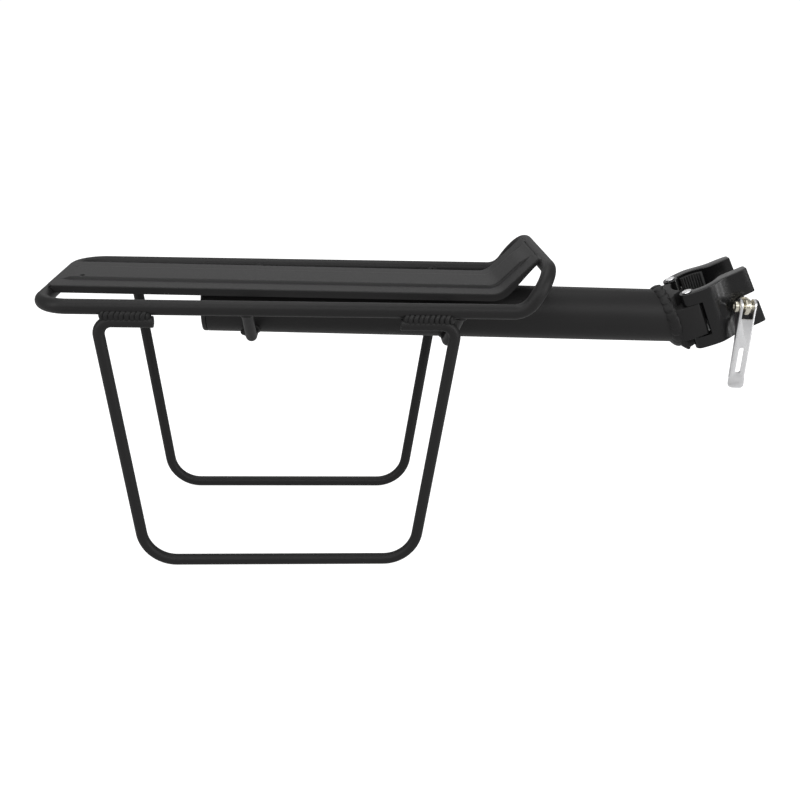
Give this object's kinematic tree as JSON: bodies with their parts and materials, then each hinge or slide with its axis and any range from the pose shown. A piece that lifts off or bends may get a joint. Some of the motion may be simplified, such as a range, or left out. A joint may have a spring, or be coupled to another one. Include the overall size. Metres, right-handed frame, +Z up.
{
  "type": "bicycle rear rack",
  "caption": "Seatpost-mounted bicycle rear rack: round beam, tube luggage rails with pressed deck, wire side frames and a hinged two-jaw clamp with a quick-release lever.",
  "frame": {"origin": "centre of the seatpost bore, on the axis half way up the jaws", "axes": "+X to the front of the bicycle, +Y to the side away from the quick-release lever, +Z up with the deck level; the bore axis leans back 24.5 degrees from +Z"},
  "size_m": [0.5056, 0.1378, 0.2192],
  "materials": {
    "powder_coat": "satin black powder coat on aluminium alloy",
    "gloss_black": "smooth semi-gloss black paint on cast aluminium",
    "black_plastic": "matt moulded plastic",
    "rubber": "matt ribbed rubber",
    "steel": "bright zinc or nickel plate on steel",
    "brass": "dull yellow-zinc plate"
  },
  "bodies": {
    "rack": {"rail_loop": "powder_coat", "deck_plate": "powder_coat", "beam_tube": "powder_coat", "beam_end_cap": "black_plastic", "beam_weld": "powder_coat", "side_frame_near": "powder_coat", "side_frame_far": "powder_coat", "rear_strut_near": "powder_coat", "rear_strut_far": "powder_coat", "front_strut_near": "powder_coat", "front_strut_far": "powder_coat", "rear_stub_weld_near": "powder_coat", "rear_stub_weld_far": "powder_coat", "front_stub_weld_near": "powder_coat", "front_stub_weld_far": "powder_coat", "clamp_block": "powder_coat", "hinge_pin_near": "steel", "hinge_pin_far": "steel"},
    "near_jaw": {"near_jaw": "gloss_black", "near_pad": "rubber"},
    "far_jaw": {"far_jaw": "gloss_black", "far_pad": "rubber"},
    "bolt_barrel": {"pivot_barrel": "steel"},
    "bolt": {"eye_bolt": "steel", "cam_pin": "steel", "cam_washer": "brass"},
    "lever": {"quick_release_lever": "steel"}
  },
  "joints": [
    {"name": "bolt_swing", "type": "hinge", "parent": "far_jaw", "child": "bolt_barrel", "pos_m": [0.02533, 0.0215, 0.01001], "axis": [-0.4147, 0, 0.91], "range_deg": [0, 100]},
    {"name": "near_jaw_swing", "type": "hinge", "parent": "rack", "child": "near_jaw", "pos_m": [-0.01001, -0.0185, -0.00456], "axis": [-0.4147, 0, 0.91], "range_deg": [-16, 0]},
    {"name": "far_jaw_swing", "type": "hinge", "parent": "rack", "child": "far_jaw", "pos_m": [-0.01001, 0.0185, -0.00456], "axis": [-0.4147, 0, 0.91], "range_deg": [0, 8]},
    {"name": "bolt_spin", "type": "hinge", "parent": "bolt_barrel", "child": "bolt", "pos_m": [0.02077, -0.03056, 0.00793], "axis": [0.0872, 0.9954, 0.0397], "continuous": true},
    {"name": "lever_flip", "type": "hinge", "parent": "bolt", "child": "lever", "pos_m": [0.02077, -0.03056, 0.00793], "axis": [0.9962, -0.0872, -0.0017], "range_deg": [-120, 0]}
  ],
  "couplings": [
    {"joint": "near_jaw_swing", "follows": "bolt_swing", "ratio": -0.16},
    {"joint": "far_jaw_swing", "follows": "bolt_swing", "ratio": 0.08}
  ]
}
